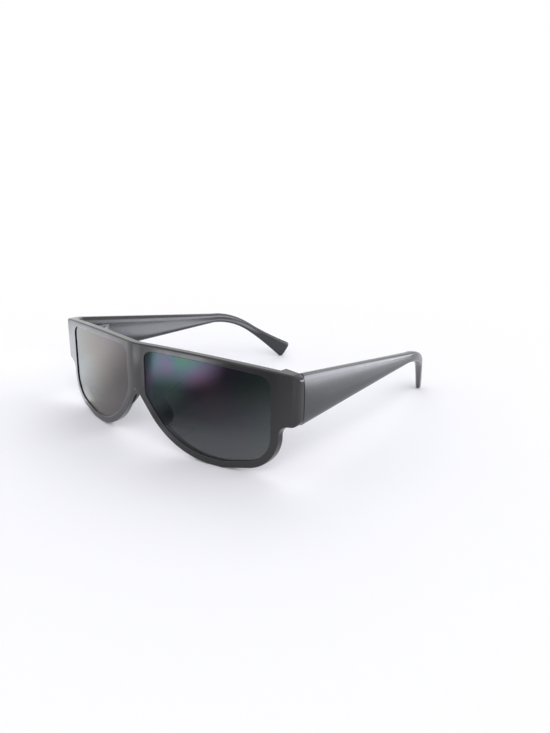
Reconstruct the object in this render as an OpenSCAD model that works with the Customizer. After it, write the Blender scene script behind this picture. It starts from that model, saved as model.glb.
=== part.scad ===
// Flat top sunglasses, open and standing on a table as they do between wearings.
// +X is the wearer's left, -Y is the way the lenses face, +Z is up. Sizes are millimetres.
// They touch the table at the flats under both rims and at both temple tips.

/* [Front] */
// Width across the two endpieces
front_w = 146; // [142:0.2:152]
// Height of the front at the middle of its top edge
front_h = 45; // [43:0.2:49]
// Radius of the top edge, which is almost flat
top_r = 850; // [600:10:1500]
// Width across the outer sides of the two rims
rims_w = 130.8; // [128:0.2:133]
// Thickness of the front from face to back
front_t = 3.4; // [3.2:0.1:3.7]
// Radius of the face round the bridge, seen from above
bridge_curve_r = 23; // [20:1:35]
// Radius of the face across each lens, seen from above
lens_curve_r = 780; // [600:10:1200]

/* [Rims and nose] */
// Width of the rim below and beside each lens
rim_w = 3; // [2.4:0.1:3.6]
// Width of the brow above each lens
brow_w = 2.6; // [2:0.1:4]
// Width of the bridge between the two lenses
bridge_w = 11; // [9:0.2:14]
// Height of the nose notch above the table
notch_h = 26.3; // [24:0.1:29]
// Slope of the notch's sides from level
notch_angle = 54.4; // [52:0.2:57]
// Radius at the top of the notch
notch_r = 1.8; // [1:0.1:3]
// Radius of each rim's lower corner by the nose
nose_corner_r = 38; // [30:0.5:39]
// Width of the flat under each rim, which the front stands on
flat_w = 4; // [3:0.1:5]
// Radius where the flat turns up into the rim's rising lower edge
flat_r = 8; // [4:0.5:12]
// How far the lower edge of each rim rises out to its side
rim_rise = 4.8; // [3:0.1:6]
// Radius of each rim's lower outer corner
outer_corner_r = 15; // [10:0.5:17]

/* [Endpieces] */
// Depth from the middle of the face back to the joint
joint_y = 19.7; // [19.5:0.1:22]
// Height of each endpiece's lower edge above the table
endpiece_z = 22; // [21:0.1:24]
// Width of the block behind each end that carries the hinge
endpiece_w = 8.6; // [8.4:0.1:9.4]
// Radius of each endpiece's upper and lower outer edges
endpiece_edge_r = 3; // [1:0.1:4]
// Radius where each endpiece's lower edge runs into the side of the rim
endpiece_inner_r = 4.4; // [1:0.1:4.5]
// Radius of the front corner of each endpiece, seen from above
endpiece_corner_r = 2.5; // [1:0.1:3]

/* [Lenses] */
// Thickness of each lens
lens_t = 2; // [1.6:0.1:2.2]
// How far each lens lies behind the face of its rim
lens_set = 0.5; // [0.3:0.1:0.8]
// Depth of the groove that holds a lens's edge
groove_d = 0.8; // [0.5:0.1:1.2]
// Room round a lens in its groove
lens_room = 0.05; // [0.02:0.01:0.1]
// Radius of each lens's upper corner by the bridge
lens_inner_r = 4; // [2:0.5:6]
// Radius of each lens's upper outer corner
lens_outer_r = 5; // [2:0.5:8]
// Radius where each lens turns from the bridge into the notch's slope
lens_nose_r = 5; // [2:0.5:6]

/* [Nose pads] */
// Length of each pad along the side of the notch
pad_l = 14; // [10:0.5:15]
// Width of each pad
pad_w = 3.4; // [2.8:0.1:4.5]
// How far each pad stands out behind the front
pad_d = 5; // [3.5:0.5:7]
// How far each pad's end lies further from the nose than its foot
pad_splay = 2.6; // [1:0.1:4]
// Height of the middle of each pad above the table
pad_z = 15.5; // [14:0.5:17]

/* [Temples] */
// Thickness of each temple up to its ear bend
temple_t = 4.3; // [3.8:0.1:4.6]
// Gap between each temple's end and its endpiece when open
joint_gap = 0.1; // [0.05:0.05:0.3]
// Length of the straight part, from the joint to the ear bend
straight_l = 87.4; // [80:0.2:94]
// How far the straight part turns in towards the head
straight_in = 4; // [2:0.1:5]
// How far the straight part slopes down
straight_down = 2; // [1:0.1:3]
// Radius of the ear bend along the temple's middle
bend_r = 42; // [30:1:55]
// How far the tail turns in towards the head
tail_in = 26; // [14:0.5:27]
// How far the tail slopes down
tail_down = 34.5; // [30:0.5:40]
// Height of each temple where the ear bend starts
bend_h = 5.2; // [4.6:0.1:8]
// Height of the narrow neck after the ear bend
neck_h = 4.4; // [4:0.1:5.5]
// Height of the flared paddle at the tip
paddle_h = 10.6; // [9:0.1:13]
// Thickness of the paddle
paddle_t = 3; // [2.6:0.1:3.8]
// Radius of the paddle's corners
paddle_r = 2.2; // [1:0.1:3]
// Depth of the flat that the table has worn under each tip
tip_flat = 0.2; // [0.1:0.05:0.4]

/* [Hinges] */
// Distance from the temple's inner face in to the hinge screw's axis
pin_in = 2; // [1.9:0.05:2.2]
// Distance from the joint back to the hinge screw's axis
pin_back = 1.7; // [1.7:0.05:2]
// Radius of the hinge barrels
barrel_r = 1.55; // [1.4:0.05:1.6]
// Height of the stack of barrels
hinge_h = 9; // [8:0.5:10]
// Number of barrels, shared in turn by the front and the temple
barrels = 5; // [3:2:5]
// Gap between one barrel and the next
barrel_gap = 0.06; // [0.03:0.01:0.1]
// Thickness of the hinge leaves
leaf_t = 0.8; // [0.7:0.1:0.9]
// Width of the leaf on the front
front_leaf_w = 3; // [2.6:0.1:3.1]
// Height of the leaf on the front
front_leaf_h = 14; // [13:0.5:15]
// Length of the leaf on the temple
temple_leaf_l = 13; // [12:0.5:17]
// How far the temple's leaf stands out of its recess
leaf_proud = 0.35; // [0.2:0.05:0.4]

/* [Screws, rivets and cores] */
// Radius of the hinge screw's shank
screw_r = 0.65; // [0.5:0.05:0.7]
// Radius of the hinge screw's head
screw_head_r = 1.1; // [0.9:0.05:1.15]
// Height of the hinge screw's head
screw_head_h = 0.7; // [0.5:0.05:0.9]
// Radius of the rivets' shanks
rivet_r = 0.6; // [0.4:0.05:0.7]
// Radius of the rivets' heads
rivet_head_r = 0.95; // [0.85:0.05:1.05]
// Height of the rivets' heads
rivet_head_h = 0.4; // [0.3:0.05:0.5]
// Length of the rivets' shanks in the front
front_rivet_l = 2.6; // [1.5:0.1:3]
// Length of the rivets' shanks in each temple
temple_rivet_l = 2; // [1.5:0.1:2.4]
// Distance between the two rivets in a temple, one above the other
rivet_gap = 5; // [4.5:0.1:5.4]
// Room round every screw and rivet
pin_room = 0.05; // [0.02:0.01:0.1]
// Radius of the steel core wire in each temple
core_r = 0.6; // [0.4:0.05:0.7]
// Distance from the joint back to the end of the core wire, in its channel
core_start = 1; // [0.5:0.5:5]
// Distance from the end of the core wire to the temple's end
core_end = 6; // [4:0.5:10]

/* [Hidden] */
$fn = 48;
past = 1; // how far a cutter runs past what it cuts

gloss_black = "#16171a";
smoke = "#34353b";
pad_black = "#202124";
steel = "#a9adb2";
bright_steel = "#c9ccd0";

half_w = front_w / 2;
rim_x = rims_w / 2;
endpiece_in = half_w - endpiece_w;
// Where the notch's side, drawn on down, meets the table, and the ends of the flat under a rim
notch_foot = notch_h / tan(notch_angle);
flat_start = notch_foot + nose_corner_r * tan(notch_angle / 2);
flat_end = flat_start + flat_w;
rise_angle = atan(rim_rise / (rim_x - flat_end));
// The fillet below each endpiece has its radius, or less where the room beside or below it is smaller
endpiece_fillet = min(
    endpiece_inner_r,
    half_w - rim_x - endpiece_edge_r - 0.1,
    endpiece_z - rim_rise - outer_corner_r * tan((90 - rise_angle) / 2) - 0.1
);

// Height of the front's top edge at a distance x from the middle
function top_z(x) = front_h - top_r + sqrt(top_r * top_r - x * x);

function unit(v) = v / norm(v);
function flat_cross(a, b) = a.x * b.y - a.y * b.x;
function xy(c) = [c[0], c[1]];
function reversed(list) = [for (i = [len(list) - 1:-1:0]) list[i]];
function mirrored(list) = [for (c = reversed(list)) [-c[0], c[1], c[2]]];

// The corner b between a and c, rounded to radius r by steps of 6 degrees
function corner_arc(a, b, c, r) = r <= 0 ? [b] :
    let (
        u = unit(a - b),
        v = unit(c - b),
        half = acos(u * v) / 2,
        centre = b + unit(u + v) * r / sin(half),
        from = b + u * r / tan(half) - centre,
        to = b + v * r / tan(half) - centre,
        start = atan2(from.y, from.x),
        turn = atan2(flat_cross(from, to), from * to),
        steps = max(2, ceil(abs(turn) / 6))
    )
    [for (i = [0:steps]) centre + r * [cos(start + turn * i / steps), sin(start + turn * i / steps)]];

// A closed outline whose corners are [x, y, radius]
function rounded(corners) = let (n = len(corners))
    [for (i = [0:n - 1]) each corner_arc(
        xy(corners[(i + n - 1) % n]), xy(corners[i]), xy(corners[(i + 1) % n]), corners[i][2])];

// The face seen from above: an arc round the bridge, then a flatter one across each lens
face_step = 4.5;
bridge_x = bridge_w / 2 - rim_w / 2;
bridge_turn = asin(bridge_x / bridge_curve_r);
lens_centre = [
    (bridge_curve_r - lens_curve_r) * sin(bridge_turn),
    bridge_curve_r + (lens_curve_r - bridge_curve_r) * cos(bridge_turn),
];
function face_turn(x) = asin((x - lens_centre.x) / lens_curve_r);
function face_point(turn, t) = lens_centre + (lens_curve_r - t) * [sin(turn), -cos(turn)];
function face_y(x, t = 0) = lens_centre.y - sqrt(pow(lens_curve_r - t, 2) - pow(x - lens_centre.x, 2));

// Half of the line a depth t behind the face, from the bridge out to x
function half_face(t, x) = let (
        last = face_turn(x),
        steps = ceil((x - bridge_x) / face_step)
    )
    concat(
        [for (i = [0:2]) let (a = bridge_turn * i / 3)
            [(bridge_curve_r - t) * sin(a), bridge_curve_r - (bridge_curve_r - t) * cos(a)]],
        [for (i = [0:steps]) face_point(bridge_turn + (last - bridge_turn) * i / steps, t)]
    );
function flat_corners(points) = [for (p = points) [p.x, p.y, 0]];

// The band that a lens fills between two depths behind the face, on the left side
function lens_band(t0, t1) = let (last = face_turn(rim_x), steps = ceil(rim_x / face_step))
    concat(
        [for (i = [0:steps]) face_point(bridge_turn + (last - bridge_turn) * i / steps, t0)],
        [for (i = [steps:-1:0]) face_point(bridge_turn + (last - bridge_turn) * i / steps, t1)]
    );

// The front seen from above, and the block behind each end that carries the hinge
half_plan = concat(
    flat_corners(half_face(0, half_w - endpiece_corner_r - 2)),
    [[half_w, face_y(half_w), endpiece_corner_r], [half_w, face_y(half_w, front_t), 0.4]],
    flat_corners(reversed(half_face(front_t, half_w - 2)))
);
front_plan = rounded(concat(half_plan, [for (c = mirrored(half_plan)) if (c[0] < 0) c]));
block_plan = rounded([
    [endpiece_in, face_y(endpiece_in, front_t * 0.8), 0],
    [half_w, face_y(half_w, front_t * 0.8), 0],
    [half_w, joint_y, 0.3],
    [endpiece_in, joint_y, 0.5],
]);

// The opening for the left lens seen from the front, grown by d all round
function lens_outline(d) = let (
        wall = rim_w - d,
        inner = bridge_w / 2 - d,
        outer = rim_x - wall,
        slope_z = notch_h + wall / cos(notch_angle),
        rise_z = (outer - flat_end) * tan(rise_angle) + wall / cos(rise_angle),
        drop = brow_w - d
    )
    rounded(concat(
        [[inner, top_z(inner) - drop, lens_inner_r + d]],
        [for (i = [1:5]) let (x = inner + (outer - inner) * i / 6) [x, top_z(x) - drop, 0]],
        [
            [outer, top_z(outer) - drop, lens_outer_r + d],
            [outer, rise_z, outer_corner_r - wall],
            [flat_end - wall * tan(rise_angle / 2), wall, flat_r - wall],
            [(slope_z - wall) / tan(notch_angle), wall, nose_corner_r - wall],
            [inner, slope_z - inner * tan(notch_angle), lens_nose_r + d],
        ]
    ));

// The front seen from the front
half_outline = concat(
    [for (i = [1:7]) let (x = half_w * i / 8) [x, top_z(x), 0]],
    [
        [half_w, top_z(half_w), endpiece_edge_r],
        [half_w, endpiece_z, endpiece_edge_r],
        [rim_x, endpiece_z, endpiece_fillet],
        [rim_x, rim_rise, outer_corner_r],
        [flat_end, 0, flat_r],
        [notch_foot, 0, nose_corner_r],
    ]
);
front_outline = rounded(concat(
    [[0, front_h, 0]], half_outline, [[0, notch_h, notch_r]], mirrored(half_outline)
));

// The temple's middle line: straight, an arc of bend_r round the ear, then straight to the tip
function heading(inward, down) = [-sin(inward) * cos(down), cos(inward) * cos(down), -sin(down)];
root_top = top_z(half_w - temple_t / 2);
root_h = root_top - endpiece_z;
root = [half_w - temple_t / 2, joint_y, endpiece_z + root_h / 2];
heading_1 = heading(straight_in, straight_down);
heading_2 = heading(tail_in, tail_down);
bend_turn = acos(heading_1 * heading_2);
bend_l = bend_r * bend_turn * PI / 180;
bend_in = unit(heading_2 - heading_1 * (heading_1 * heading_2));
bend_start = root + heading_1 * straight_l;
bend_centre = bend_start + bend_in * bend_r;
bend_end = bend_centre - bend_r * (bend_in * cos(bend_turn) - heading_1 * sin(bend_turn));
// The tail is as long as it takes for the paddle's lower corner to reach the table
paddle_drop = paddle_h / 2 * cos(tail_down) - paddle_r * (sin(tail_down) + cos(tail_down) - 1);
tail_l = (bend_end.z + tip_flat - paddle_drop) / sin(tail_down);
temple_l = straight_l + bend_l + tail_l;
neck_at = straight_l + bend_l;

function middle(s) = s < straight_l ? root + heading_1 * s
    : s < neck_at ? let (a = (s - straight_l) / bend_r * 180 / PI)
        bend_centre - bend_r * (bend_in * cos(a) - heading_1 * sin(a))
    : bend_end + heading_2 * (s - neck_at);
function direction(s) = s < straight_l ? heading_1
    : s < neck_at ? let (a = (s - straight_l) / bend_r * 180 / PI) bend_in * sin(a) + heading_1 * cos(a)
    : heading_2;

function blend(a, b, u) = a + (b - a) * (1 - cos(180 * u)) / 2;
function temple_height(s) = s < straight_l ? root_h + (bend_h - root_h) * s / straight_l
    : s < neck_at ? blend(bend_h, neck_h, (s - straight_l) / bend_l)
    : neck_h + (paddle_h - neck_h) * pow((s - neck_at) / tail_l, 1.6);
function temple_thickness(s) = s < straight_l ? temple_t
    : temple_t + (paddle_t - temple_t) * (s - straight_l) / (temple_l - straight_l);
// What an end of radius r has lost from its side at a distance e from the end
function end_loss(r, e) = e >= r ? 0 : r - sqrt(r * r - pow(r - e, 2));

// One ring of the temple: a flat oval that is crowned on its outer and inner faces
ring_points = 24;
crown = 3.2;
function oval(a) = [
    sign(cos(a)) * pow(abs(cos(a)), 2 / crown),
    sign(sin(a)) * pow(abs(sin(a)), 2 / crown),
];
function temple_ring(s) = let (
        ahead = direction(s),
        side = unit(cross(ahead, [0, 0, 1])),
        up = cross(side, ahead),
        half_h = temple_height(s) / 2 - end_loss(paddle_r, temple_l - s),
        half_t = temple_thickness(s) / 2 - end_loss(paddle_t / 3, temple_l - s)
    )
    [for (i = [0:ring_points - 1]) let (o = oval(360 * (i + 0.5) / ring_points))
        middle(s) + side * half_t * o.x + up * half_h * o.y];
ring_places = concat(
    [for (i = [0:5]) -3 + (straight_l + 1) * i / 5],
    [for (i = [0:10]) straight_l + bend_l * i / 10],
    [for (i = [1:8]) neck_at + (tail_l - paddle_r) * i / 8],
    [for (u = [0.45, 0.75, 0.92, 1]) temple_l - paddle_r + (paddle_r - 0.02) * u]
);
temple_rings = [for (s = ring_places) temple_ring(s)];

// The origin lies midway between the face and the furthest point of the tips
depth = max([for (ring = temple_rings) each [for (p = ring) p.y]]);

hinge_z = root.z;
pin = [half_w - temple_t - pin_in, joint_y + pin_back];
barrel_pitch = hinge_h / barrels;

module whole() translate([0, -depth / 2, 0]) children();
// A piece on the wearer's right is the mirror image of the one on the left
module right_side() mirror([1, 0, 0]) children();
// An outline drawn as seen from the front, run through the front's depth
module through(outline) translate([0, joint_y + past, 0]) rotate([90, 0, 0])
    linear_extrude(joint_y + 2 * past) polygon(outline);

// A solid that runs through rings of points, each with as many points as the next
module lofted(rings) {
    n = len(rings[0]);
    m = len(rings);
    sides = [for (k = [0:m - 2], i = [0:n - 1]) let (j = (i + 1) % n, a = k * n, b = a + n)
        each [[a + i, b + j, b + i], [a + i, a + j, b + j]]];
    first_end = [for (i = [1:n - 2]) [0, i + 1, i]];
    last_end = [for (i = [1:n - 2]) let (a = (m - 1) * n) [a, a + i, a + i + 1]];
    polyhedron(points = [for (r = rings) each r], faces = concat(sides, first_end, last_end));
}

module lens_blank(grown, t0, t1) intersection() {
    through(lens_outline(grown));
    linear_extrude(front_h) polygon(lens_band(t0, t1));
}

// Where the front's leaf and its two rivets sit, with the y axis out of the back of the endpiece
front_leaf_shift = 0.3;
module at_front_leaf() translate([pin.x + front_leaf_shift, joint_y, hinge_z]) children();
front_rivet_z = (hinge_h + front_leaf_h) / 4;
module front_leaf_blank(room) translate([-front_leaf_w / 2 - room, -leaf_t, -front_leaf_h / 2 - room])
    cube([front_leaf_w + 2 * room, leaf_t + past * (room > 0 ? 1 : 0), front_leaf_h + 2 * room]);
// The hole of a rivet whose shank runs a length past its leaf
module rivet_hole(l) translate([0, 0, -past])
    cylinder(r = rivet_r + pin_room, h = past + leaf_t + l + pin_room);
module front_rivet_holes() for (z = [-1, 1]) translate([0, 0, z * front_rivet_z])
    rotate([90, 0, 0]) rivet_hole(front_rivet_l);

// Where the temple's leaf sits: x is out of the head and y along the temple, from the screw's axis
module at_temple_leaf() translate([pin.x, pin.y, hinge_z]) rotate([0, 0, straight_in]) children();
inner_face = (root.x - pin.x) * cos(straight_in) + (root.y - pin.y) * sin(straight_in) - temple_t / 2;
leaf_face = inner_face - leaf_proud;
leaf_from = barrel_r;
module temple_leaf_blank(room) translate([leaf_face, leaf_from - room, -hinge_h / 2 - room])
    cube([leaf_t, temple_leaf_l + 2 * room, hinge_h + 2 * room]);
recess_l = pin_back + leaf_from + temple_leaf_l + pin_room;
module temple_leaf_recess() translate([0, -pin_back - past, -hinge_h / 2 - pin_room])
    cube([leaf_face + leaf_t, past + recess_l, hinge_h + 2 * pin_room]);
temple_rivet_y = leaf_from + temple_leaf_l - rivet_head_r - 1;
// One rivet lies above the core wire and one below it
module at_temple_rivets() for (side = [-1, 1])
    translate([leaf_face, temple_rivet_y, side * rivet_gap / 2]) rotate([0, 90, 0]) children();
module temple_rivet_holes() at_temple_rivets() rivet_hole(temple_rivet_l);

// Every second barrel from the first, counted up from the lowest
module barrel_stack(first) for (i = [first:2:barrels - 1])
    translate([0, 0, -hinge_h / 2 + i * barrel_pitch + barrel_gap / 2]) children();
barrel_h = barrel_pitch - barrel_gap;
module screw_hole() translate([pin.x, pin.y, hinge_z - hinge_h / 2 - past])
    cylinder(r = screw_r + pin_room, h = hinge_h + 2 * past);
// Width of the web that joins each barrel to its leaf
web_w = barrel_r * 1.4;

module front_frame() color(gloss_black) difference() {
    intersection() {
        through(front_outline);
        union() {
            linear_extrude(front_h + past) polygon(front_plan);
            for (side = [0, 1]) mirror([side, 0, 0]) translate([0, 0, endpiece_z])
                linear_extrude(front_h) polygon(block_plan);
        }
    }
    for (side = [0, 1]) mirror([side, 0, 0]) {
        through(lens_outline(0));
        lens_blank(groove_d, lens_set - lens_room, lens_set + lens_t + lens_room);
        at_front_leaf() {
            front_leaf_blank(pin_room);
            front_rivet_holes();
        }
    }
}

module lens() color(smoke) lens_blank(groove_d - lens_room, lens_set, lens_set + lens_t);

// A pad is a rounded fin that leans away from the nose, seated on the back of the rim
pad_steps = 8; // rings along a pad
pad_open = 8; // how far the two pads open downwards from the notch's sides
pad_seat = 1.65; // how far the middle of a pad's foot lies in from the notch's edge
pad_slope = notch_angle - pad_open;
pad_along = [cos(pad_slope), 0, -sin(pad_slope)];
pad_out = [sin(pad_slope), 0, cos(pad_slope)];
pad_turn = acos(1 - pad_z / nose_corner_r);
pad_foot = [
    notch_h / tan(notch_angle) + nose_corner_r * (tan(notch_angle / 2) - sin(pad_turn)),
    0,
    pad_z,
];
function pad_ring(v) = let (
        size = sqrt(1 - pow(v, 5)),
        back = face_y(pad_foot.x, front_t) - 1 + (pad_d + 1) * v,
        middle = pad_foot + pad_out * (pad_seat + pad_splay * v) + [0, back, 0]
    )
    [for (i = [0:19]) let (o = oval(360 * (i + 0.5) / 20))
        middle + pad_along * pad_l / 2 * size * o.y - pad_out * pad_w / 2 * size * o.x];
module nose_pad() color(pad_black) difference() {
    lofted([for (k = [0:pad_steps]) pad_ring(0.985 * sin(90 * k / pad_steps))]);
    linear_extrude(front_h) polygon(front_plan);
}

module front_hinge() color(steel) difference() {
    union() {
        at_front_leaf() front_leaf_blank(0);
        translate([pin.x, pin.y, hinge_z]) barrel_stack(0) {
            cylinder(r = barrel_r, h = barrel_h);
            translate([-web_w / 2, -pin_back - leaf_t / 2, 0])
                cube([web_w, pin_back + leaf_t / 2, barrel_h]);
        }
    }
    screw_hole();
    translate([pin.x, pin.y, hinge_z + hinge_h / 2 - screw_head_h])
        cylinder(r = screw_head_r + pin_room, h = screw_head_h + past);
    at_front_leaf() front_rivet_holes();
}

module temple_hinge() color(steel) difference() {
    at_temple_leaf() union() {
        temple_leaf_blank(0);
        barrel_stack(1) {
            cylinder(r = barrel_r, h = barrel_h);
            translate([0, -web_w / 2, 0])
                cube([leaf_face + leaf_t, web_w / 2 + leaf_from + leaf_t, barrel_h]);
        }
    }
    screw_hole();
    at_temple_leaf() temple_rivet_holes();
}

// Width and depth of the slot in a screw's head
slot_w = 0.32;
slot_d = 0.3;
module hinge_screw() color(bright_steel) translate([pin.x, pin.y, hinge_z]) difference() {
    union() {
        translate([0, 0, -hinge_h / 2]) cylinder(r = screw_r, h = hinge_h - screw_head_h / 2);
        translate([0, 0, hinge_h / 2 - screw_head_h + pin_room])
            cylinder(r = screw_head_r, h = screw_head_h);
    }
    translate([-screw_head_r - past, -slot_w / 2, hinge_h / 2 - slot_d])
        cube([2 * (screw_head_r + past), slot_w, slot_d + past]);
}

module rivet(l) {
    translate([0, 0, -rivet_head_h]) cylinder(r = rivet_head_r, h = rivet_head_h);
    translate([0, 0, -rivet_head_h / 2]) cylinder(r = rivet_r, h = rivet_head_h / 2 + l);
}
module front_rivets() color(bright_steel) at_front_leaf() for (z = [-1, 1])
    translate([0, 0, z * front_rivet_z]) rotate([90, 0, 0]) rivet(leaf_t + front_rivet_l);
module temple_rivets() color(bright_steel) at_temple_leaf() at_temple_rivets()
    rivet(leaf_t + temple_rivet_l);

// A wire of radius r along the temple's middle line
wire_sides = 10;
function wire_ring(s, r) = let (
        ahead = direction(s),
        side = unit(cross(ahead, [0, 0, 1])),
        up = cross(side, ahead)
    )
    [for (i = [0:wire_sides - 1]) let (a = 360 * (i + 0.5) / wire_sides)
        middle(s) + (side * cos(a) + up * sin(a)) * r];
module core_wire(r, from, to) lofted([for (s = concat(
    [from, straight_l / 2],
    [for (i = [0:6]) straight_l + bend_l * i / 6],
    [to])) wire_ring(s, r)]);
module temple_core() color(bright_steel) core_wire(core_r, core_start, temple_l - core_end);

module temple() color(gloss_black) difference() {
    lofted(temple_rings);
    translate([half_w - temple_t * 2, joint_y + joint_gap - 10, 0]) cube([temple_t * 4, 10, front_h]);
    translate([0, joint_y, -10]) cube([half_w, depth, 10]);
    at_temple_leaf() {
        temple_leaf_recess();
        temple_rivet_holes();
    }
    core_wire(core_r + pin_room, -2 * past, temple_l - core_end + pin_room);
}

whole() front_frame();
whole() lens();  // left_lens
whole() right_side() lens();  // right_lens
whole() nose_pad();  // left_nose_pad
whole() right_side() nose_pad();  // right_nose_pad
whole() front_hinge();  // left_front_hinge
whole() right_side() front_hinge();  // right_front_hinge
whole() front_rivets();  // left_front_rivets
whole() right_side() front_rivets();  // right_front_rivets
whole() hinge_screw();  // left_hinge_screw
whole() right_side() hinge_screw();  // right_hinge_screw
whole() temple();  // left_temple
whole() right_side() temple();  // right_temple
whole() temple_hinge();  // left_temple_hinge
whole() right_side() temple_hinge();  // right_temple_hinge
whole() temple_rivets();  // left_temple_rivets
whole() right_side() temple_rivets();  // right_temple_rivets
whole() temple_core();  // left_temple_core
whole() right_side() temple_core();  // right_temple_core
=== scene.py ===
import math

import bmesh
import bpy
from mathutils import Matrix, Vector


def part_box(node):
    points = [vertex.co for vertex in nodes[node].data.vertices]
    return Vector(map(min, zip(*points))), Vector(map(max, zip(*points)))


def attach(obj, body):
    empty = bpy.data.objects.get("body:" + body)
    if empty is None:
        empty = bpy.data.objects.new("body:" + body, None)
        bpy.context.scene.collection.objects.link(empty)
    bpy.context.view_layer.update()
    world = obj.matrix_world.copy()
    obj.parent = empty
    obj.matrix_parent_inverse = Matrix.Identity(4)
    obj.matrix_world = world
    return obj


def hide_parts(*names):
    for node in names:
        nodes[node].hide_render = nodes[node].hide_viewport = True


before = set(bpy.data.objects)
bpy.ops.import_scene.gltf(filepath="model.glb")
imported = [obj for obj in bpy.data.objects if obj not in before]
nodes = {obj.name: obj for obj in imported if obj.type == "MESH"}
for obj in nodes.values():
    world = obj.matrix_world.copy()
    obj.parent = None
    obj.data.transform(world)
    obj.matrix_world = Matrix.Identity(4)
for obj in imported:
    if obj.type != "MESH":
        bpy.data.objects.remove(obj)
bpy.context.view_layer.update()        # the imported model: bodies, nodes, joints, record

mm = 0.001
near = 0.001             # millimetres within which points count as one
sharpAngle = math.radians(40)  # edges that turn by more are shaded crisp
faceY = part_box("front_frame")[0].y  # the face's foremost line; shapes below count their depth from it
print("frame loaded")

# Shapes are worked out in millimetres, x to the wearer's left, y back from the face, z up from the table


def toFrame(point):
    return Vector((point[0] * mm, faceY + point[1] * mm, point[2] * mm))


def placed(name, data):
    thing = bpy.data.objects.new(name, data)
    bpy.context.scene.collection.objects.link(thing)
    return thing


def toObject(name, mesh, material):
    # Hands a finished mesh in millimetres over to the scene
    for vertex in mesh.verts:
        vertex.co = toFrame(vertex.co)
    bmesh.ops.recalc_face_normals(mesh, faces=mesh.faces)
    data = bpy.data.meshes.new(name)
    mesh.to_mesh(data)
    mesh.free()
    data.shade_smooth()
    data.set_sharp_from_angle(angle=sharpAngle)
    data.materials.append(material)
    return placed(name, data)


def ovalShares(count, crown):
    # Across and up, from -1 to 1, round a rounded oblong. A higher crown squares it off
    shares = []
    for i in range(count):
        turn = 2 * math.pi * (i + 0.5) / count
        shares.append([math.copysign(abs(c) ** (2 / crown), c) for c in (math.cos(turn), math.sin(turn))])
    return shares


def addLoop(mesh, points):
    return [mesh.verts.new(point) for point in points]


def bridge(mesh, loops):
    # Four-sided faces from each closed loop to the next one of as many vertices
    for first, second in zip(loops, loops[1:]):
        for i in range(len(first)):
            j = (i + 1) % len(first)
            mesh.faces.new((first[i], first[j], second[j], second[i]))


def shapeThrough(rings):
    # A closed shape through rings of as many points, with flat ends
    mesh = bmesh.new()
    loops = [addLoop(mesh, ring) for ring in rings]
    bridge(mesh, loops)
    mesh.faces.new(loops[0])
    mesh.faces.new(loops[-1])
    return mesh


def booleanOf(target, tool, operation):
    # Joins or cuts two closed bmeshes and gives the result as a new bmesh
    made = []
    for mesh in (target, tool):
        bmesh.ops.recalc_face_normals(mesh, faces=mesh.faces)
        data = bpy.data.meshes.new("part")
        mesh.to_mesh(data)
        mesh.free()
        made.append(placed("part", data))
    modifier = made[0].modifiers.new("join", "BOOLEAN")
    modifier.operation, modifier.solver, modifier.object = operation, "EXACT", made[1]
    bpy.context.view_layer.update()
    shape = made[0].evaluated_get(bpy.context.evaluated_depsgraph_get())
    result = bmesh.new()
    result.from_mesh(shape.to_mesh())
    for piece in made:
        bpy.data.objects.remove(piece)
    return result


def boxMesh(low, high, moved=Matrix.Identity(4)):
    mesh = bmesh.new()
    bmesh.ops.create_cube(mesh, size=1)
    for vertex in mesh.verts:
        share = vertex.co + Vector((0.5, 0.5, 0.5))
        vertex.co = moved @ Vector([a + (b - a) * s for a, b, s in zip(low, high, share)])
    return mesh


# Materials


def newMaterial(name):
    material = bpy.data.materials.new(name)
    material.use_nodes = True
    tree = material.node_tree
    tree.nodes.clear()
    shader = tree.nodes.new("ShaderNodeBsdfPrincipled")
    output = tree.nodes.new("ShaderNodeOutputMaterial")
    tree.links.new(shader.outputs["BSDF"], output.inputs["Surface"])
    return material, tree, shader


def noiseField(tree, scale, detail, stretch=(1, 1, 1), turn=(0, 0, 0)):
    coords = tree.nodes.new("ShaderNodeTexCoord")
    mapping = tree.nodes.new("ShaderNodeMapping")
    mapping.inputs["Scale"].default_value = stretch
    mapping.inputs["Rotation"].default_value = [math.radians(a) for a in turn]
    noise = tree.nodes.new("ShaderNodeTexNoise")
    noise.inputs["Scale"].default_value = scale
    noise.inputs["Detail"].default_value = detail
    tree.links.new(coords.outputs["Object"], mapping.inputs["Vector"])
    tree.links.new(mapping.outputs["Vector"], noise.inputs["Vector"])
    return noise.outputs["Fac"]


def remap(tree, value, fromRange, toRange, curve="LINEAR"):
    node = tree.nodes.new("ShaderNodeMapRange")
    node.interpolation_type = curve
    for socket, number in zip(("From Min", "From Max", "To Min", "To Max"), (*fromRange, *toRange)):
        node.inputs[socket].default_value = number
    tree.links.new(value, node.inputs["Value"])
    return node.outputs["Result"]


def addUp(tree, first, second, operation="ADD"):
    node = tree.nodes.new("ShaderNodeMath")
    node.operation = operation
    tree.links.new(first, node.inputs[0])
    tree.links.new(second, node.inputs[1])
    return node.outputs["Value"]


def bumpFrom(tree, shader, height, depth, strength=1.0):
    node = tree.nodes.new("ShaderNodeBump")
    node.inputs["Distance"].default_value = depth
    node.inputs["Strength"].default_value = strength
    tree.links.new(height, node.inputs["Height"])
    tree.links.new(node.outputs["Normal"], shader.inputs["Normal"])


def colourBetween(tree, value, first, second):
    node = tree.nodes.new("ShaderNodeMix")
    node.data_type = "RGBA"
    node.inputs["A"].default_value = (*first, 1)
    node.inputs["B"].default_value = (*second, 1)
    tree.links.new(value, node.inputs["Factor"])
    return node.outputs["Result"]


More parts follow.
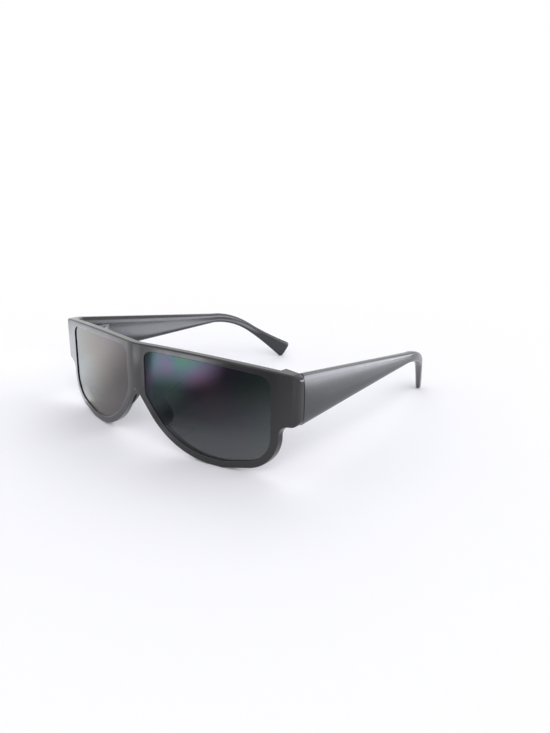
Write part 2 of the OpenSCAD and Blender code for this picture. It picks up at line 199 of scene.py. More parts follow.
def mixShaders(tree, share, first, second):
    # The surface goes from the first shader to the second as the share goes from 0 to 1
    node = tree.nodes.new("ShaderNodeMixShader")
    tree.links.new(share, node.inputs["Fac"])
    tree.links.new(first.outputs[0], node.inputs[1])
    tree.links.new(second.outputs[0], node.inputs[2])
    tree.links.new(node.outputs["Shader"], tree.nodes["Material Output"].inputs["Surface"])


def polishedPlastic(name, finish):
    # Tumbled acetate: a deep gloss with a slight swell, fine hairlines and duller patches from fingers
    material, tree, shader = newMaterial(name)
    cloud = noiseField(tree, finish["cloudScale"], 3)
    hairlines = noiseField(tree, finish["hairScale"], 2, stretch=(1, 14, 14), turn=(20, 35, 10))
    crossed = noiseField(tree, finish["hairScale"], 2, stretch=(16, 1, 12), turn=(-15, 10, 40))
    swell = noiseField(tree, finish["swellScale"], 1)
    scratches = remap(tree, addUp(tree, hairlines, crossed, "MAXIMUM"), finish["scratchFrom"], (0, 1))
    dulling = remap(tree, scratches, (0, 1), (0, finish["scratchDulling"]))
    dents = remap(tree, scratches, (0, 1), (0, -finish["scratchShare"]))
    gloss = addUp(tree, remap(tree, cloud, finish["cloudFrom"], finish["roughness"]), dulling)
    tree.links.new(gloss, shader.inputs["Roughness"])
    tree.links.new(colourBetween(tree, cloud, finish["deep"], finish["light"]), shader.inputs["Base Color"])
    bumpFrom(tree, shader, addUp(tree, swell, dents), finish["swellDepth"])
    shader.inputs["IOR"].default_value = finish["ior"]
    shader.inputs["Coat Weight"].default_value = finish["coat"]
    shader.inputs["Coat Roughness"].default_value = finish["coatRoughness"]
    return material


frontFinish = {
    "deep": (0.008, 0.008, 0.009), "light": (0.014, 0.014, 0.016),
    "roughness": (0.14, 0.24), "ior": 1.5, "coat": 0.2, "coatRoughness": 0.08,
    "cloudScale": 120, "cloudFrom": (0.35, 0.7), "hairScale": 260, "swellScale": 90, "swellDepth": 0.00004,
    "scratchFrom": (0.62, 0.8), "scratchDulling": 0.12, "scratchShare": 0.06,
}
templeFinish = dict(frontFinish, deep=(0.010, 0.011, 0.014), light=(0.018, 0.019, 0.023),
                    roughness=(0.16, 0.25))
padFinish = dict(frontFinish, deep=(0.014, 0.014, 0.015), light=(0.024, 0.024, 0.026),
                 roughness=(0.38, 0.5), coat=0.0, swellDepth=0.00002)

# Heights and places on the lens are in metres, the film in nanometres. The outer side of each lens counts as
# lower down by a share, which makes it paler: a painted reflection
lensFinish = {
    "dark": (0.004, 0.004, 0.005), "pale": (0.125, 0.125, 0.133), "fadePower": 1.7,
    "darkAt": 0.036, "paleAt": 0.003, "outerGlare": 0.22, "outerGlareFrom": (0.006, 0.066),
    "smearScale": 55, "smearFrom": (0.4, 0.75), "roughness": (0.02, 0.06), "ior": 1.5,
    "filmIndex": (1.048, 1.005), "film": (780, 960), "driftScale": 38, "driftFrom": (0.35, 0.65),
    "driftDepth": 0.00003, "slantFrom": (0.3, 0.5),
}


def tintedLens(name, finish):
    # Smoke lens, darker above than below, with its outer side painted paler as a reflection, and the film that
    # wiping leaves. Its thin coating drifts in colour and is fainter low down and at a grazing angle
    material, tree, shader = newMaterial(name)
    coords = tree.nodes.new("ShaderNodeTexCoord")
    parts = tree.nodes.new("ShaderNodeSeparateXYZ")
    tree.links.new(coords.outputs["Object"], parts.inputs["Vector"])
    away = tree.nodes.new("ShaderNodeMath")
    away.operation = "ABSOLUTE"
    tree.links.new(parts.outputs["X"], away.inputs[0])
    outerGlare = finish["outerGlare"]
    # Painted reflection: the outer side of each lens is made paler, as if it caught glare
    across = remap(tree, away.outputs["Value"], finish["outerGlareFrom"], (-outerGlare, outerGlare))
    down = remap(tree, parts.outputs["Z"], (finish["paleAt"], finish["darkAt"]), (1, 0))
    smear = noiseField(tree, finish["smearScale"], 4, stretch=(1, 1, 2.5), turn=(0, 30, 0))
    drift = noiseField(tree, finish["driftScale"], 1)
    fade = tree.nodes.new("ShaderNodeMath")
    fade.operation = "POWER"
    fade.inputs[1].default_value = finish["fadePower"]
    tree.links.new(remap(tree, addUp(tree, down, across), (0, 1), (0, 1)), fade.inputs[0])
    tint = colourBetween(tree, fade.outputs["Value"], finish["dark"], finish["pale"])
    tree.links.new(tint, shader.inputs["Base Color"])
    tree.links.new(remap(tree, smear, finish["smearFrom"], finish["roughness"]), shader.inputs["Roughness"])
    coating = remap(tree, drift, finish["driftFrom"], finish["film"])
    tree.links.new(coating, shader.inputs["Thin Film Thickness"])
    bumpFrom(tree, shader, drift, finish["driftDepth"])
    slant = tree.nodes.new("ShaderNodeLayerWeight")
    slant.inputs["Blend"].default_value = 0.5
    faint = addUp(tree, remap(tree, slant.outputs["Facing"], finish["slantFrom"], (0, 1)), down, "MAXIMUM")
    tree.links.new(remap(tree, faint, (0, 1), finish["filmIndex"]), shader.inputs["Thin Film IOR"])
    shader.inputs["Transmission Weight"].default_value = 1.0
    shader.inputs["IOR"].default_value = finish["ior"]
    return material


steel = {
    "lineScale": 900, "lineFrom": (0.3, 0.7), "lineDepth": 0.000015, "lineStrength": 0.6,
    "spotScale": 700, "spotFrom": (0.55, 0.75), "spotDulling": 0.12, "spotShade": 0.8,
}


def brushedMetal(name, colour, roughness, grain):
    # Turned and tumbled steel with fine tool lines and small dull spots
    material, tree, shader = newMaterial(name)
    lines = noiseField(tree, steel["lineScale"], 2, stretch=grain)
    spots = noiseField(tree, steel["spotScale"], 3)
    tone = colourBetween(tree, spots, [c * steel["spotShade"] for c in colour], colour)
    tree.links.new(tone, shader.inputs["Base Color"])
    tooled = remap(tree, lines, steel["lineFrom"], roughness)
    dulling = remap(tree, spots, steel["spotFrom"], (0, steel["spotDulling"]))
    tree.links.new(addUp(tree, tooled, dulling), shader.inputs["Roughness"])
    bumpFrom(tree, shader, lines, steel["lineDepth"], steel["lineStrength"])
    shader.inputs["Metallic"].default_value = 1.0
    return material


materials = {
    "front": polishedPlastic("front_acetate", frontFinish),
    "temple": polishedPlastic("temple_acetate", templeFinish),
    "pad": polishedPlastic("pad_acetate", padFinish),
    "lens": tintedLens("smoke_lens", lensFinish),
    "hinge": brushedMetal("hinge_steel", colour=(0.14, 0.145, 0.155), roughness=(0.28, 0.42), grain=(1, 1, 12)),
    "screw": brushedMetal("screw_steel", colour=(0.34, 0.345, 0.36), roughness=(0.2, 0.34), grain=(1, 1, 20)),
    "rivet": brushedMetal("rivet_steel", colour=(0.21, 0.215, 0.225), roughness=(0.22, 0.36), grain=(8, 8, 1)),
    "core": brushedMetal("core_wire", colour=(0.55, 0.56, 0.58), roughness=(0.25, 0.4), grain=(12, 1, 1)),
}
print("materials made")

# The front

front = {
    "width": 146, "height": 45, "topRadius": 850, "rimsWidth": 130.8, "thickness": 3.4,
    "bridgeCurve": 23, "lensCurve": 780, "rim": 3, "brow": 2.6, "bridge": 11,
    "notchHeight": 26.3, "notchSlope": 54.4, "notchRadius": 1.8, "noseRadius": 38,
    "flat": 4, "flatRadius": 8, "rimRise": 4.8, "outerRadius": 15,
    "jointDepth": 19.7, "endpieceZ": 22, "endpieceWidth": 8.6, "endpieceEdge": 3, "endpieceInner": 4.4,
    "endpieceCorner": 2.5, "cornerTurns": (32, 45, 56, 66), "chord": 0.7, "topPieces": 12,
    "edge": 0.6, "edgeSteps": 5, "openingEdge": 0.3, "openingSteps": 4, "jointEdge": 0.25, "jointSteps": 3,
    "lensInset": 0.5, "lensThickness": 2, "groove": 0.8, "lensRoom": 0.05,
    "lensInner": 4, "lensOuter": 5, "lensNose": 5, "lensTopPieces": 8,
    "lensEdge": 0.15, "lensEdgeSteps": 3, "lensCuts": range(6, 66, 3),
}
halfWidth = front["width"] / 2
rimX = front["rimsWidth"] / 2
notchSlope = math.radians(front["notchSlope"])
notchFoot = front["notchHeight"] / math.tan(notchSlope)
flatEnd = notchFoot + front["noseRadius"] * math.tan(notchSlope / 2) + front["flat"]
riseAngle = math.atan(front["rimRise"] / (rimX - flatEnd))


def topLine(x):
    return front["height"] - front["topRadius"] + math.sqrt(front["topRadius"] ** 2 - x * x)


def roundedOutline(corners, chord):
    # A closed outline whose corners are (x, z, radius), in steps of about one chord
    points = []
    for i, (x, z, radius) in enumerate(corners):
        corner = Vector((x, z))
        before = (Vector(corners[i - 1][:2]) - corner).normalized()
        after = (Vector(corners[(i + 1) % len(corners)][:2]) - corner).normalized()
        if radius <= 0:
            points.append(corner)
            continue
        half = before.angle(after) / 2
        centre = corner + (before + after).normalized() * radius / math.sin(half)
        start = corner + before * radius / math.tan(half) - centre
        end = corner + after * radius / math.tan(half) - centre
        turn = math.atan2(start.x * end.y - start.y * end.x, start.dot(end))
        steps = max(4, math.ceil(abs(turn) * radius / chord))
        points += [centre + Matrix.Rotation(turn * k / steps, 2) @ start for k in range(steps + 1)]
    return points


def shifted(outline, distance, leastShare=0.4):
    # The outline moved to its left by a distance, and at sharp corners by at most that over the least share
    moved = []
    for i, point in enumerate(outline):
        ahead = (outline[(i + 1) % len(outline)] - point).normalized()
        behind = (point - outline[i - 1]).normalized()
        side = Vector((-(ahead + behind).y, (ahead + behind).x)).normalized()
        moved.append(point + side * distance / max(leastShare, side.dot(Vector((-ahead.y, ahead.x)))))
    return moved


def frontOutline():
    pieces = front["topPieces"]
    half = [(halfWidth * i / pieces, topLine(halfWidth * i / pieces), 0) for i in range(1, pieces)]
    half += [
        (halfWidth, topLine(halfWidth), front["endpieceEdge"]),
        (halfWidth, front["endpieceZ"], front["endpieceEdge"]),
        (rimX, front["endpieceZ"], front["endpieceInner"]),
        (rimX, front["rimRise"], front["outerRadius"]),
        (flatEnd, 0, front["flatRadius"]),
        (notchFoot, 0, front["noseRadius"]),
    ]
    other = [(-x, z, radius) for x, z, radius in reversed(half)]
    whole = [(0, front["height"], 0), *half, (0, front["notchHeight"], front["notchRadius"]), *other]
    return list(reversed(roundedOutline(whole, front["chord"])))  # so that its inside is on its left


def lensOutline(grown):
    # The left lens opening seen from the front, grown all round
    wall = front["rim"] - grown
    inner = front["bridge"] / 2 - grown
    outer = rimX - wall
    slopeZ = front["notchHeight"] + wall / math.cos(notchSlope)
    riseZ = (outer - flatEnd) * math.tan(riseAngle) + wall / math.cos(riseAngle)
    drop = front["brow"] - grown
    pieces = front["lensTopPieces"]
    across = [inner + (outer - inner) * i / pieces for i in range(1, pieces)]
    corners = [(inner, topLine(inner) - drop, front["lensInner"] + grown)]
    corners += [(x, topLine(x) - drop, 0) for x in across]
    corners += [
        (outer, topLine(outer) - drop, front["lensOuter"] + grown),
        (outer, riseZ, front["outerRadius"] - wall),
        (flatEnd - wall * math.tan(riseAngle / 2), wall, front["flatRadius"] - wall),
        ((slopeZ - wall) / math.tan(notchSlope), wall, front["noseRadius"] - wall),
        (inner, slopeZ - inner * math.tan(notchSlope), front["lensNose"] + grown),
    ]
    return list(reversed(roundedOutline(corners, front["chord"])))


bridgeTurn = math.asin((front["bridge"] - front["rim"]) / 2 / front["bridgeCurve"])
lensCentre = Vector((
    (front["bridgeCurve"] - front["lensCurve"]) * math.sin(bridgeTurn),
    front["bridgeCurve"] + (front["lensCurve"] - front["bridgeCurve"]) * math.cos(bridgeTurn)))


def faceDepth(x, depth=0.0):
    # How far back the surface a depth behind the face lies at x
    x = abs(x)
    radius = front["bridgeCurve"] - depth
    if x < radius * math.sin(bridgeTurn):
        return front["bridgeCurve"] - math.sqrt(radius ** 2 - x * x)
    return lensCentre.y - math.sqrt((front["lensCurve"] - depth) ** 2 - (x - lensCentre.x) ** 2)


# The front corner of each endpiece, seen from above, is rounded into the side
cornerTurn = math.pi / 2 - math.asin((halfWidth - lensCentre.x) / front["lensCurve"])
cornerReach = front["endpieceCorner"] * math.tan(cornerTurn / 2)
cornerX = halfWidth - cornerReach * math.sin(cornerTurn)
cornerY = faceDepth(halfWidth) + cornerReach


def wrapDepth(x, depth):
    # The same with that corner, which fades out through the thickness
    plain = faceDepth(x, depth)
    if abs(x) <= cornerX:
        return plain
    reach = min(abs(x) - (halfWidth - front["endpieceCorner"]), front["endpieceCorner"])
    rounded = cornerY - math.sqrt(max(0, front["endpieceCorner"] ** 2 - reach * reach))
    return max(plain, rounded + depth)


def edgeProfile(radius, thickness, steps):
    # The rounded edge at the face and the one at the back, each as (inset, depth) from the face backwards
    turned = [math.pi / 2 * k / steps for k in range(steps + 1)]
    atFace = [(radius * (1 - math.sin(a)), radius * (1 - math.cos(a))) for a in turned]
    return atFace, [(inset, thickness - depth) for inset, depth in reversed(atFace)]


def mirroredX(outline):
    return [Vector((-p.x, p.y)) for p in reversed(outline)]


def ringedWall(mesh, outline, profile, sign):
    # The wall along an outline, inset inwards where the sign is 1, and its first and last loops
    loops = [addLoop(mesh, [(p.x, depth, p.y) for p in shifted(outline, sign * inset)])
             for inset, depth in profile]
    bridge(mesh, loops)
    return loops[0], loops[-1]


def loopEdges(mesh, loop):
    return [mesh.edges.get((a, b)) for a, b in zip(loop, loop[1:] + loop[:1])]


def fillBetween(mesh, loops):
    bmesh.ops.triangle_fill(mesh, edges=[e for loop in loops for e in loopEdges(mesh, loop)], use_beauty=True)


def cutAcross(mesh, places):
    # Cuts the flat shape at each x, so that it can follow the curve seen from above
    for place in places:
        parts = [*mesh.faces, *mesh.edges, *mesh.verts]
        bmesh.ops.bisect_plane(mesh, geom=parts, plane_co=(place, 0, 0), plane_no=(1, 0, 0), dist=near / 2)


def mergeFlat(mesh, depths):
    # Joins the small faces of the flat sides again between the cuts
    def flatAt(face):
        return any(all(abs(v.co.y - depth) < near for v in face.verts) for depth in depths)
    spare = [e for e in mesh.edges if len(e.link_faces) == 2 and all(flatAt(f) for f in e.link_faces)
             and abs(e.verts[0].co.x - e.verts[1].co.x) > 2 * near]
    bmesh.ops.dissolve_edges(mesh, edges=spare, use_verts=False)
    loose = [v for v in mesh.verts if len(v.link_edges) == 2]
    bmesh.ops.dissolve_verts(mesh, verts=loose)


curveCuts = [0, 0.8, 1.6, 2.4, 3.2, 4, 5, 10, 16, 22, 28, 34, 40, 46, 52, 58, 61.5, 66.4, 69, cornerX]
cornerTurns = [math.radians(a) for a in front["cornerTurns"]]
cornerCuts = [halfWidth - front["endpieceCorner"] * (1 - math.sin(a)) for a in cornerTurns]
frontCuts = sorted({side * x for x in curveCuts + cornerCuts for side in (-1, 1)})


# Where the CAD hinges lie, for the pockets of their leaves in the front and the temples
hinge = {
    "pinX": 66.7, "pinY": 21.4, "z": 32.021, "room": 0.05, "leaf": 0.8, "height": 9,
    "frontLeafShift": 0.3, "frontLeafWidth": 3, "frontLeafHeight": 14,
    "templeLeafLength": 13, "templeLeafFrom": 1.55, "templeLeafTo": 2.321,
    "pastFront": 3, "pastTemple": 3.5, "pastInside": 0.5,
}


def makeFront():
    thick, joint = front["thickness"], front["jointDepth"]
    mesh = bmesh.new()
    outline = frontOutline()
    faceEdge, backEdge = edgeProfile(front["edge"], thick, front["edgeSteps"])
    outerFront, outerBack = ringedWall(mesh, outline, faceEdge + backEdge, 1)
    faceOpening, backOpening = edgeProfile(front["openingEdge"], thick, front["openingSteps"])
    groove, room = front["groove"], front["lensRoom"]
    slotFrom = front["lensInset"] - room
    slotTo = front["lensInset"] + front["lensThickness"] + room
    slot = [(0, slotFrom), (groove, slotFrom), (groove, slotTo), (0, slotTo)]
    fronts, backs = [outerFront], [outerBack]
    for opening in (lensOutline(0), mirroredX(lensOutline(0))):
        first, last = ringedWall(mesh, opening, faceOpening + slot + backOpening, -1)
        fronts.append(first)
        backs.append(last)
    fillBetween(mesh, fronts)
    fillBetween(mesh, backs)
    # The block behind each end that carries the hinge
    blockX = halfWidth - front["endpieceWidth"]
    for side in (1, -1):
        portion = [p for p in outline if p.x * side > blockX and p.y > front["endpieceZ"] - near]
        start = max(range(len(portion)), key=lambda i: (portion[i] - portion[i - 1]).length)
        portion = portion[start:] + portion[:start]
        corners = [Vector((side * blockX, front["endpieceZ"])), Vector((side * blockX, topLine(blockX)))]
        portion += reversed(corners) if side > 0 else corners
        block = bmesh.new()
        jointEnd = edgeProfile(front["jointEdge"], joint, front["jointSteps"])[1]
        first, last = ringedWall(block, portion, [(0, thick / 2)] + jointEnd, 1)
        block.faces.new(first)
        block.faces.new(last)
        mesh = booleanOf(mesh, block, "UNION")
    cutAcross(mesh, frontCuts)
    mergeFlat(mesh, (0, thick))
    for vertex in mesh.verts:
        x, depth = vertex.co.xy
        if depth < thick + 10 * near:
            vertex.co.y = min(wrapDepth(x, depth), joint)
    # The pockets of the front leaves
    for side in (1, -1):
        middle = side * (hinge["pinX"] + hinge["frontLeafShift"])
        wide, high = hinge["frontLeafWidth"] / 2 + hinge["room"], hinge["frontLeafHeight"] / 2 + hinge["room"]
        pocket = boxMesh((middle - wide, joint - hinge["leaf"], hinge["z"] - high),
                         (middle + wide, joint + hinge["pastFront"], hinge["z"] + high))
        mesh = booleanOf(mesh, pocket, "DIFFERENCE")
    return toObject("front", mesh, materials["front"])


def makeLens(name, side):
    outline = lensOutline(front["groove"] - front["lensRoom"])
    if side < 0:
        outline = mirroredX(outline)
    mesh = bmesh.new()
    faceEdge, backEdge = edgeProfile(front["lensEdge"], front["lensThickness"], front["lensEdgeSteps"])
    first, last = ringedWall(mesh, outline, faceEdge + backEdge, 1)
    fillBetween(mesh, [first])
    fillBetween(mesh, [last])
    cutAcross(mesh, [side * x for x in front["lensCuts"]])
    mergeFlat(mesh, (0, front["lensThickness"]))
    for vertex in mesh.verts:
        x, depth = vertex.co.xy
        vertex.co.y = faceDepth(x, depth + front["lensInset"])
    return toObject(name, mesh, materials["lens"])


# The temples

temple = {
    "thickness": 4.3, "jointGap": 0.1, "straight": 87.4, "straightIn": 4, "straightDown": 2,
    "bendRadius": 42, "tailIn": 26, "tailDown": 34.5, "bendHeight": 5.2, "neckHeight": 4.4,
    "paddleHeight": 10.6, "paddleThickness": 3, "paddleRadius": 2.2, "sideRadius": 1, "flare": 1.6,
    "tipFlat": 0.2, "crown": 3.2, "ringPoints": 56, "jointEdge": 0.25, "jointSteps": 3, "jointRing": 1,
    "firstRing": 2, "straightRings": 16, "bendRings": 16, "tailRings": 14, "tipTurns": range(12, 84, 9),
    "tipGap": 0.01,
}


def heading(inward, down):
    inward, down = math.radians(inward), math.radians(down)
    return Vector((-math.sin(inward) * math.cos(down), math.cos(inward) * math.cos(down), -math.sin(down)))


rootTop = topLine(halfWidth - temple["thickness"] / 2)
rootHeight = rootTop - front["endpieceZ"]
root = Vector((halfWidth - temple["thickness"] / 2, front["jointDepth"], front["endpieceZ"] + rootHeight / 2))
straightWay = heading(temple["straightIn"], temple["straightDown"])
tailWay = heading(temple["tailIn"], temple["tailDown"])
bendTurn = straightWay.angle(tailWay)
bendIn = (tailWay - straightWay * straightWay.dot(tailWay)).normalized()
bendStart = root + straightWay * temple["straight"]
bendCentre = bendStart + bendIn * temple["bendRadius"]
bendEnd = bendCentre - temple["bendRadius"] * (bendIn * math.cos(bendTurn) - straightWay * math.sin(bendTurn))
neckAt = temple["straight"] + temple["bendRadius"] * bendTurn
tailDown = math.radians(temple["tailDown"])
paddleDrop = (temple["paddleHeight"] / 2 * math.cos(tailDown)
              - temple["paddleRadius"] * (math.sin(tailDown) + math.cos(tailDown) - 1))
tailLength = (bendEnd.z + temple["tipFlat"] - paddleDrop) / math.sin(tailDown)
templeLength = neckAt + tailLength


def alongTemple(s):
    # Middle point and direction at a distance s from the joint
    if s < temple["straight"]:
        return root + straightWay * s, straightWay
    if s < neckAt:
        a = (s - temple["straight"]) / temple["bendRadius"]
        return (bendCentre - temple["bendRadius"] * (bendIn * math.cos(a) - straightWay * math.sin(a)),
                bendIn * math.sin(a) + straightWay * math.cos(a))
    return bendEnd + tailWay * (s - neckAt), tailWay


def templeHeight(s):
    if s < temple["straight"]:
        return rootHeight + (temple["bendHeight"] - rootHeight) * s / temple["straight"]
    if s < neckAt:
        share = (1 - math.cos(math.pi * (s - temple["straight"]) / (neckAt - temple["straight"]))) / 2
        return temple["bendHeight"] + (temple["neckHeight"] - temple["bendHeight"]) * share
    share = ((s - neckAt) / tailLength) ** temple["flare"]
    return temple["neckHeight"] + (temple["paddleHeight"] - temple["neckHeight"]) * share


def templeThickness(s):
    share = max(0, (s - temple["straight"]) / (templeLength - temple["straight"]))
    return temple["thickness"] + (temple["paddleThickness"] - temple["thickness"]) * share


def endLoss(radius, fromEnd):
    # What the rounded tip takes off at a distance from its end
    return 0 if fromEnd >= radius else radius - math.sqrt(max(0, radius ** 2 - (radius - fromEnd) ** 2))


def templeRing(s, inset=0.0):
    middle, ahead = alongTemple(s)
    side = ahead.cross(Vector((0, 0, 1))).normalized()
    up = side.cross(ahead)
    halfHigh = templeHeight(s) / 2 - endLoss(temple["paddleRadius"], templeLength - s) - inset
    halfThick = templeThickness(s) / 2 - endLoss(temple["sideRadius"], templeLength - s) - inset
    return [middle + side * halfThick * across + up * halfHigh * above
            for across, above in ovalShares(temple["ringPoints"], temple["crown"])]


def makeTemple(name, side):
    jointY = front["jointDepth"] + temple["jointGap"]
    rings = []
    # The rounded edge at the joint, square to the front
    for inset, depth in edgeProfile(temple["jointEdge"], 0, temple["jointSteps"])[0]:
        ring = templeRing(temple["jointRing"], inset)
        rings.append([p + straightWay * ((jointY + depth - p.y) / straightWay.y) for p in ring])
    tailStop = templeLength - temple["paddleRadius"]
    places = [temple["firstRing"]]
    for stop, count in ((temple["straight"], temple["straightRings"]), (neckAt, temple["bendRings"]),
                        (tailStop, temple["tailRings"])):
        start = places[-1]
        places += [start + (stop - start) * i / count for i in range(1, count + 1)]
    places += [tailStop + temple["paddleRadius"] * math.sin(math.radians(a)) for a in temple["tipTurns"]]
    places.append(templeLength - temple["tipGap"])
    rings += [templeRing(s) for s in places]
    mesh = shapeThrough([[(side * p.x, p.y, max(p.z, 0)) for p in ring] for ring in rings])
    # The pocket of the temple's leaf, open to the joint
    atPin = Matrix.Translation((side * hinge["pinX"], hinge["pinY"], hinge["z"]))
    atPin @= Matrix.Rotation(math.radians(side * temple["straightIn"]), 4, "Z")
    high = hinge["height"] / 2 + hinge["room"]
    leafEnd = hinge["templeLeafFrom"] + hinge["templeLeafLength"] + hinge["room"]
    pocket = boxMesh((-hinge["pastInside"], -hinge["pastTemple"], -high),
                     (hinge["templeLeafTo"], leafEnd, high), atPin @ Matrix.Diagonal((side, 1, 1, 1)))
    mesh = booleanOf(mesh, pocket, "DIFFERENCE")
    return toObject(name, mesh, materials["temple"])


# The nose pads

pad = {
    "length": 14, "width": 3.4, "depth": 5, "splay": 2.6, "z": 15.5, "open": 8, "seat": 1.65, "sunk": 1,
    "crown": 3.2, "dome": 5, "reach": 0.995, "steps": 16, "points": 36,
}


def makePad(name, side):
    slope = math.radians(front["notchSlope"] - pad["open"])
    along = Vector((math.cos(slope), 0, -math.sin(slope)))
    out = Vector((math.sin(slope), 0, math.cos(slope)))
    turn = math.acos(1 - pad["z"] / front["noseRadius"])
    footX = notchFoot + front["noseRadius"] * (math.tan(notchSlope / 2) - math.sin(turn))
    rings = []
    for k in range(pad["steps"] + 1):
        share = pad["reach"] * math.sin(math.pi / 2 * k / pad["steps"])
        size = math.sqrt(1 - share ** pad["dome"])
        depth = faceDepth(footX, front["thickness"]) - pad["sunk"] + (pad["depth"] + pad["sunk"]) * share
        middle = Vector((footX, depth, pad["z"])) + out * (pad["seat"] + pad["splay"] * share)
        ring = []
        for across, above in ovalShares(pad["points"], pad["crown"]):
            point = middle + along * pad["length"] / 2 * size * above - out * pad["width"] / 2 * size * across
            ring.append((side * point.x, point.y, point.z))
        rings.append(ring)
    return toObject(name, shapeThrough(rings), materials["pad"])


def finished(piece, body, slot, *replaced):
    normals = piece.modifiers.new("normals", "WEIGHTED_NORMAL")
    normals.keep_sharp = True
    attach(piece, body)
    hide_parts(*replaced)


finished(makeFront(), "front", "frame_plastic", "front_frame")
print("front made")
for name, side in (("left", 1), ("right", -1)):
    finished(makeLens(name + "_tinted_lens", side), "front", "lens", name + "_lens")
    finished(makePad(name + "_pad", side), "front", "pad_plastic", name + "_nose_pad")
    finished(makeTemple(name + "_arm", side), name + "_temple_arm", "temple_plastic", name + "_temple")
print("lenses, pads and temples made")

# The metal parts keep the CAD shapes, with their edges rounded by a tenth of a millimetre or so
metalParts = {
    "front_hinge": ("hinge", 0.1), "temple_hinge": ("hinge", 0.1), "hinge_screw": ("screw", 0.12),
    "front_rivets": ("rivet", 0.15), "temple_rivets": ("rivet", 0.15), "temple_core": ("core", 0.1),
}
for side in ("left", "right"):
    for part, (finish, rounding) in metalParts.items():
        piece = nodes[f"{side}_{part}"]
        edges = piece.modifiers.new("edges", "BEVEL")
        edges.width, edges.segments = rounding * mm, 2
        edges.limit_method, edges.angle_limit = "ANGLE", sharpAngle
        edges.harden_normals = True
        for place in piece.material_slots:
            place.link = "OBJECT"
            place.material = materials[finish]
print("metal parts finished")

# Floor, light and camera

# Lengths here are in metres. Each lamp has its power and the direction that its light comes from
studio = {
    "floorSize": 3.0, "floorCells": 8, "floorDrop": 0.00002, "floorRoughness": 0.9, "floorShine": 0.1,
    "floorColour": (0.965, 0.955, 0.985), "fade": (0.1, 0.36), "fill": (0.565, 0.575, 0.605),
    "lamps": {
        "key": (1.5, (0.6, -0.6, 0.53)), "side": (0.5, (0.67, 0.44, 0.6)), "back": (0.55, (-0.5, 0.6, 0.62)),
    },
    "spread": 44, "boardGlow": (0.92, 0.93, 1), "boardCells": 12,
}


def seenRays(tree):
    # 1 where the camera, a glossy surface or a clear one looks straight at the backdrop
    path = tree.nodes.new("ShaderNodeLightPath")
    seen = addUp(tree, path.outputs["Is Camera Ray"], path.outputs["Is Glossy Ray"], "MAXIMUM")
    return addUp(tree, seen, path.outputs["Is Transmission Ray"], "MAXIMUM")


def makeFloor():
    # A pale table that fades into the white backdrop away from the glasses
    cells = studio["floorCells"]
    bpy.ops.mesh.primitive_grid_add(x_subdivisions=cells, y_subdivisions=cells, size=studio["floorSize"])
    floor = bpy.context.object
    floor.name = "floor"
    floor.location.z = -studio["floorDrop"]
    material, tree, shader = newMaterial("floor")
    shader.inputs["Base Color"].default_value = (*studio["floorColour"], 1)
    shader.inputs["Roughness"].default_value = studio["floorRoughness"]
    shader.inputs["Specular IOR Level"].default_value = studio["floorShine"]
    coords = tree.nodes.new("ShaderNodeTexCoord")
    distance = tree.nodes.new("ShaderNodeVectorMath")
    distance.operation = "LENGTH"
    tree.links.new(coords.outputs["Object"], distance.inputs[0])
    away = remap(tree, distance.outputs["Value"], studio["fade"], (0, 1), "SMOOTHSTEP")
    white = tree.nodes.new("ShaderNodeEmission")
    mixShaders(tree, addUp(tree, away, seenRays(tree), "MULTIPLY"), shader, white)
    floor.data.materials.append(material)


def makeWorld():
    # White where it is seen, and an even, slightly cool fill as a light
    world = bpy.data.worlds.new("studio")
    bpy.context.scene.world = world
    world.use_nodes = True
    tree = world.node_tree
    tree.nodes.clear()
    background = tree.nodes.new("ShaderNodeBackground")
    output = tree.nodes.new("ShaderNodeOutputWorld")
    tree.links.new(colourBetween(tree, seenRays(tree), studio["fill"], (1, 1, 1)), background.inputs["Color"])
    tree.links.new(background.outputs["Background"], output.inputs["Surface"])


def makeLamp(name, power, origin):
    data = bpy.data.lights.new(name, "SUN")
    data.energy, data.angle = power, math.radians(studio["spread"])
    lamp = placed(name, data)
    lamp.rotation_euler = (-Vector(origin)).to_track_quat("-Z", "Y").to_euler()
    lamp.visible_glossy = False


def reflector(name, corners, radiance, soft=(0.25, 0.25, 0.25, 0.25)):
    # A board, bright or dark, which shows only in gloss. Its borders are soft over these shares of its size:
    # at the first and the second corner along one side, at the first and the fourth along the other
    data = bpy.data.meshes.new(name)
    first, second, third, fourth = [toFrame(corner) for corner in corners]
    cells = studio["boardCells"]
    shares = [(i / cells, j / cells) for j in range(cells + 1) for i in range(cells + 1)]
    places = [first.lerp(second, u).lerp(fourth.lerp(third, u), v) for u, v in shares]
    starts = [j * (cells + 1) + i for j in range(cells) for i in range(cells)]
    data.from_pydata(places, [], [(k, k + 1, k + cells + 2, k + cells + 1) for k in starts])
    for axis, label in enumerate(("across", "along")):
        values = data.attributes.new(label, "FLOAT", "POINT")
        values.data.foreach_set("value", [share[axis] for share in shares])
    material, tree, shader = newMaterial(name)
    tree.nodes.remove(shader)
    # It is clear to rays that have met a dull surface, so that it throws no light
    path = tree.nodes.new("ShaderNodeLightPath")
    glow = remap(tree, path.outputs["Diffuse Depth"], (0, 1), (1, 0))
    for side, fadeIn, fadeOut in (("across", *soft[:2]), ("along", *soft[2:])):
        share = tree.nodes.new("ShaderNodeAttribute")
        share.attribute_name = side
        for edge in ((0, fadeIn), (1, 1 - fadeOut)):
            rise = remap(tree, share.outputs["Fac"], edge, (0, 1), "SMOOTHSTEP")
            glow = addUp(tree, glow, rise, "MULTIPLY")
    light = tree.nodes.new("ShaderNodeEmission")
    light.inputs["Color"].default_value = (*studio["boardGlow"], 1)
    light.inputs["Strength"].default_value = radiance
    mixShaders(tree, glow, tree.nodes.new("ShaderNodeBsdfTransparent"), light)
    data.materials.append(material)
    board = placed(name, data)
    board.visible_camera = board.visible_diffuse = board.visible_shadow = board.visible_transmission = False


def onTable(height, *corners):
    return [(x, y, height) for x, y in corners]


makeFloor()
makeWorld()
for name, (power, origin) in studio["lamps"].items():
    makeLamp(name + "_lamp", power, origin)

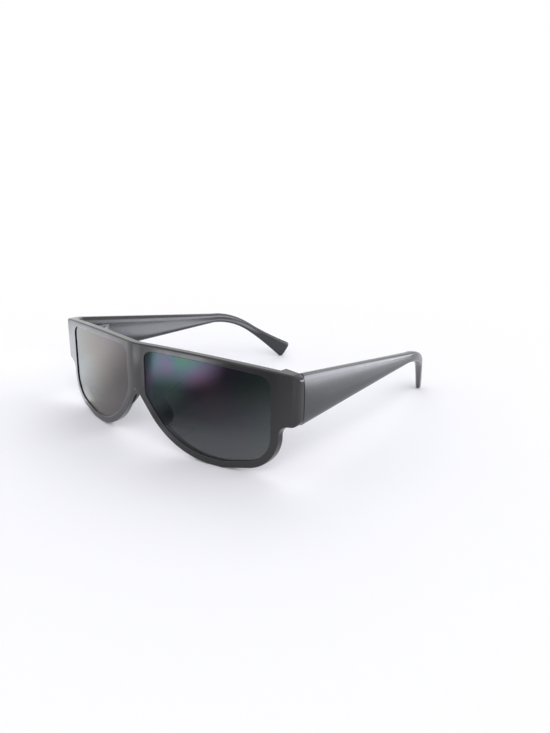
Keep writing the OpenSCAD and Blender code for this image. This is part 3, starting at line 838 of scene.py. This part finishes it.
# Boards round the glasses: corners in millimetres like the shapes, brightness, and soft borders unless they
# take up a quarter all round
reflector("front_flag", onTable(0.4, (-22, -190), (-22, -14), (66, -14), (80, -190)), 0.28,
          (0.1, 0.15, 0.22, 0.5))
reflector("front_board", onTable(0.8, (-84, -152), (-38, -64), (14, -72), (-4, -152)), 6.0,
          (0.08, 0.6, 0.15, 0.5))
reflector("corner_board", onTable(0.6, (-150, -100), (-112, -66), (-66, -112), (-92, -160)), 3.4)
reflector("low_board", onTable(0.6, (-30, -26), (-30, -1), (16, -1), (16, -26)), 1.8, (0.5, 0.1, 0.2, 0.4))
reflector("left_board", onTable(0.8, (-182, -82), (-44, 12), (-60, 110), (-290, 0)), 2.4,
          (0.15, 0.1, 0.42, 0.1))
reflector("rim_board", onTable(0.6, (-92, 6), (-60, 4), (-60, 26), (-92, 28)), 2.4)
reflector("right_board", onTable(0.8, (108, 84), (84, 200), (284, 530), (378, 384)), 4.6,
          (0.1, 0.1, 0.3, 0.1))
reflector("right_screen", [(422, 240, 0), (130, 448, 0), (130, 448, 170), (422, 240, 170)], 6,
          (0.2, 0.2, 0.05, 0.4))
reflector("middle_board", onTable(14, (-54, 66), (42, 66), (42, 142), (-50, 142)), 5.6, (0.2, 0.3, 0.2, 0.2))
reflector("back_screen", [(-60, 420, 130), (330, 420, 130), (330, 560, 520), (-60, 560, 520)], 2.5)
print("floor and lights made")

# The photograph's view: angles in degrees, lengths and the sensor in millimetres, focal length and height
# of the frame in pixels
view = {
    "turn": 40.44, "rise": 16.26, "roll": 0.69, "distance": 309.83, "target": (17.10, 68.61, 23.49),
    "focal": 654.47, "frameHeight": 733, "sensor": 36,
}


def makeCamera():
    turn, rise, roll = (math.radians(view[k]) for k in ("turn", "rise", "roll"))
    back = Vector((math.sin(turn) * math.cos(rise), -math.cos(turn) * math.cos(rise), math.sin(rise)))
    right = Vector((math.cos(turn), math.sin(turn), 0))
    up = right.cross(-back)
    right, up = right * math.cos(roll) + up * math.sin(roll), up * math.cos(roll) - right * math.sin(roll)
    data = bpy.data.cameras.new("camera")
    data.sensor_width = view["sensor"]
    data.lens = view["focal"] / view["frameHeight"] * view["sensor"]
    camera = placed("camera", data)
    camera.matrix_world = Matrix((right, up, back)).transposed().to_4x4()
    camera.location = toFrame(Vector(view["target"]) + back * view["distance"])
    bpy.context.scene.camera = camera


makeCamera()
bpy.context.scene.view_settings.view_transform = "Standard"

print("scene ready")
